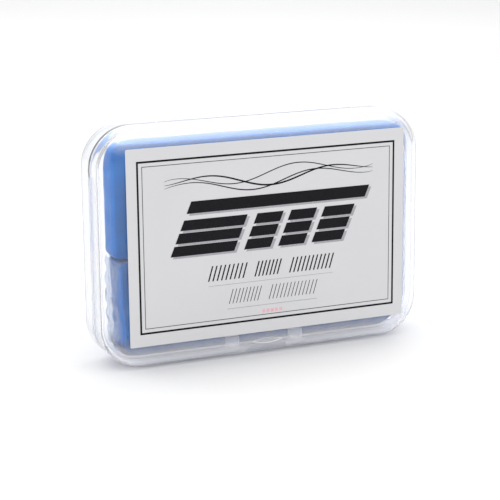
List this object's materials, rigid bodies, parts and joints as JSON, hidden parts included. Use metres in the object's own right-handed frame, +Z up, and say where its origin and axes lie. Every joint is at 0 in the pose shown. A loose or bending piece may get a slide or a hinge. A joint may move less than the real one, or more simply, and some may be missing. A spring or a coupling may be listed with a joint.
{
  "type": "clay bar",
  "caption": "Clear hinged case that stands on its latch edge, with a front label, holding film-wrapped bars of blue detailing clay.",
  "frame": {"origin": "middle of the foot print of the closed case as it stands on its latch edge", "axes": "+Z up towards the hinge, +X along the case, -Y is the way the lid and its label face"},
  "size_m": [0.0984, 0.019, 0.0686],
  "materials": {
    "clear_case": "clear moulded polypropylene, slightly milky, gloss",
    "label_paper": "satin printed label",
    "blue_clay": "soft kneadable clay, matte to satin",
    "wrap_film": "thin clear wrapping film, gloss, wrinkled"
  },
  "bodies": {
    "tray_body": {"tray": "clear_case", "hinge_leaf_rear": "clear_case", "clay_bar_upper": "blue_clay", "clay_bar_lower": "blue_clay", "wrap_upper": "wrap_film", "wrap_lower": "wrap_film"},
    "lid_body": {"lid": "clear_case", "hinge_leaf_front": "clear_case", "front_label": "label_paper"},
    "tongue_body": {"latch_tongue": "clear_case"}
  },
  "joints": [
    {"name": "lid_hinge", "type": "hinge", "parent": "tray_body", "child": "lid_body", "pos_m": [0, -0.001, 0.0686], "axis": [-1, 0, 0], "range_deg": [0, 178]},
    {"name": "latch_flex", "type": "hinge", "parent": "lid_body", "child": "tongue_body", "pos_m": [0, -0.0055, 0.0001], "axis": [-1, 0, 0], "range_deg": [0, 5], "stiffness_Nm_per_rad": 0.02}
  ]
}
